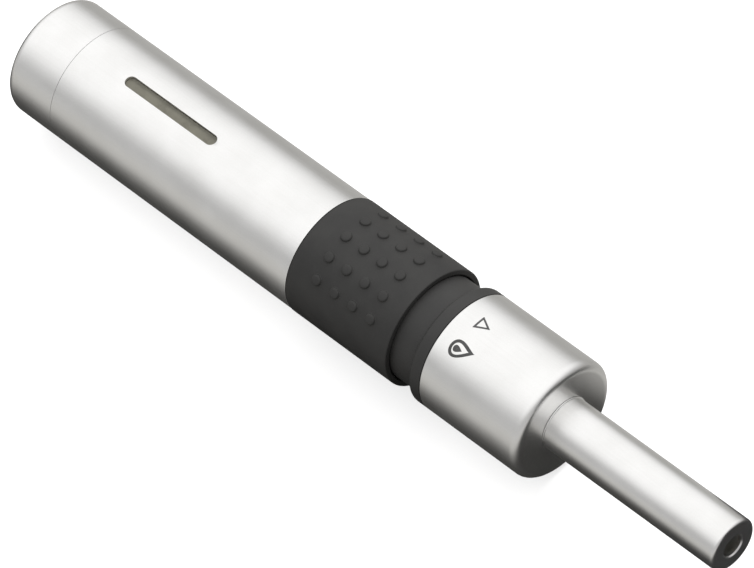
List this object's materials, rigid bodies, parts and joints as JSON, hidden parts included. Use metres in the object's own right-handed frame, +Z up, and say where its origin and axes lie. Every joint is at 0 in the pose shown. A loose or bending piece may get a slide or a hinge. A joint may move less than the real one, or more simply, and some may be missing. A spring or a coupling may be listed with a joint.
{
  "type": "gas lighter",
  "caption": "Slim round kitchen gas lighter with a rubber push sleeve that opens the valve and sparks, a level slot, a bored barrel and a pull-off rear cap.",
  "frame": {"origin": "under the middle of the length, on the surface that the rubber sleeve's lowest flat rests on", "axes": "+X along the axis from the rear cap to the flame end, +Z up through the level slot"},
  "size_m": [0.2134, 0.0302, 0.0308],
  "materials": {
    "satin_metal": "satin, very fine brushed, warm silver",
    "grip_rubber": "soft matt charcoal rubber",
    "black_plastic": "dark charcoal moulded plastic",
    "grey_plastic": "mid grey moulded acetal",
    "smoked_plastic": "clear smoked plastic of the tank and its window",
    "brass": "turned brass",
    "steel": "bright nickel-plated steel",
    "ceramic": "unglazed white ceramic",
    "seal_rubber": "black nitrile rubber",
    "silicone": "milky silicone tube",
    "red_insulation": "red silicone insulation"
  },
  "bodies": {
    "handle": {"body_tube": "satin_metal", "level_window": "smoked_plastic", "fuel_tank": "smoked_plastic", "tank_lid": "grey_plastic", "cap_seal": "seal_rubber", "lid_seal": "seal_rubber", "filler_valve": "brass", "spindle_tube": "brass", "outlet_valve": "brass", "lever_bracket": "black_plastic", "lever_pin": "steel", "bracket_screw_left": "steel", "bracket_screw_right": "steel", "neck_core": "black_plastic", "piezo_case": "black_plastic", "piezo_terminal": "brass", "piezo_cradle": "black_plastic", "earth_strip": "brass", "head_shell": "satin_metal", "head_core": "black_plastic", "head_screw_1": "steel", "head_screw_2": "steel", "head_screw_3": "steel", "barrel": "satin_metal", "barrel_nut": "brass", "gas_hose": "silicone", "ignition_lead": "red_insulation", "jet_holder": "ceramic", "burner_jet": "brass", "electrode": "steel", "return_spring": "steel", "valve_spring": "steel", "filler_spring": "steel"},
    "cap": {"rear_cap": "satin_metal", "cap_liner": "black_plastic"},
    "filler_stem": {"filler_stem": "brass"},
    "flame_adjuster": {"flame_dial": "black_plastic", "dial_spindle": "steel"},
    "sleeve": {"grip_rubber": "grip_rubber", "grip_carrier": "grey_plastic", "drive_pin_left": "steel", "drive_pin_right": "steel", "carriage": "grey_plastic"},
    "plunger": {"piezo_plunger": "ceramic"},
    "lever": {"valve_lever": "steel"},
    "stem": {"valve_stem": "brass"}
  },
  "joints": [
    {"name": "cap_pull", "type": "slide", "parent": "handle", "child": "cap", "axis": [-1, 0, 0], "range_m": [0, 0.025]},
    {"name": "filler_stem_press", "type": "slide", "parent": "handle", "child": "filler_stem", "axis": [1, 0, 0], "range_m": [0, 0.0012], "stiffness_N_per_m": 2500, "springref_m": -0.0008, "deforming": ["filler_spring"]},
    {"name": "flame_adjuster_turn", "type": "hinge", "parent": "handle", "child": "flame_adjuster", "pos_m": [-0.1001, 0, 0.01505], "axis": [-1, 0, 0], "range_deg": [-150, 150]},
    {"name": "sleeve_slide", "type": "slide", "parent": "handle", "child": "sleeve", "axis": [1, 0, 0], "range_m": [0, 0.0055], "stiffness_N_per_m": 1500, "springref_m": -0.004, "deforming": ["return_spring"]},
    {"name": "piezo_plunger_slide", "type": "slide", "parent": "handle", "child": "plunger", "axis": [1, 0, 0], "range_m": [0, 0.0055]},
    {"name": "valve_lever_tilt", "type": "hinge", "parent": "handle", "child": "lever", "pos_m": [-0.0368, 0, 0.02125], "axis": [0, -1, 0], "range_deg": [0, 10.6]},
    {"name": "valve_stem_lift", "type": "slide", "parent": "handle", "child": "stem", "axis": [1, 0, 0], "range_m": [0, 0.0017], "deforming": ["valve_spring"]}
  ],
  "couplings": [
    {"joint": "piezo_plunger_slide", "follows": "sleeve_slide", "ratio": 1},
    {"joint": "valve_lever_tilt", "follows": "sleeve_slide", "rad_per_m": 33.634},
    {"joint": "valve_stem_lift", "follows": "sleeve_slide", "ratio": 0.30906}
  ]
}
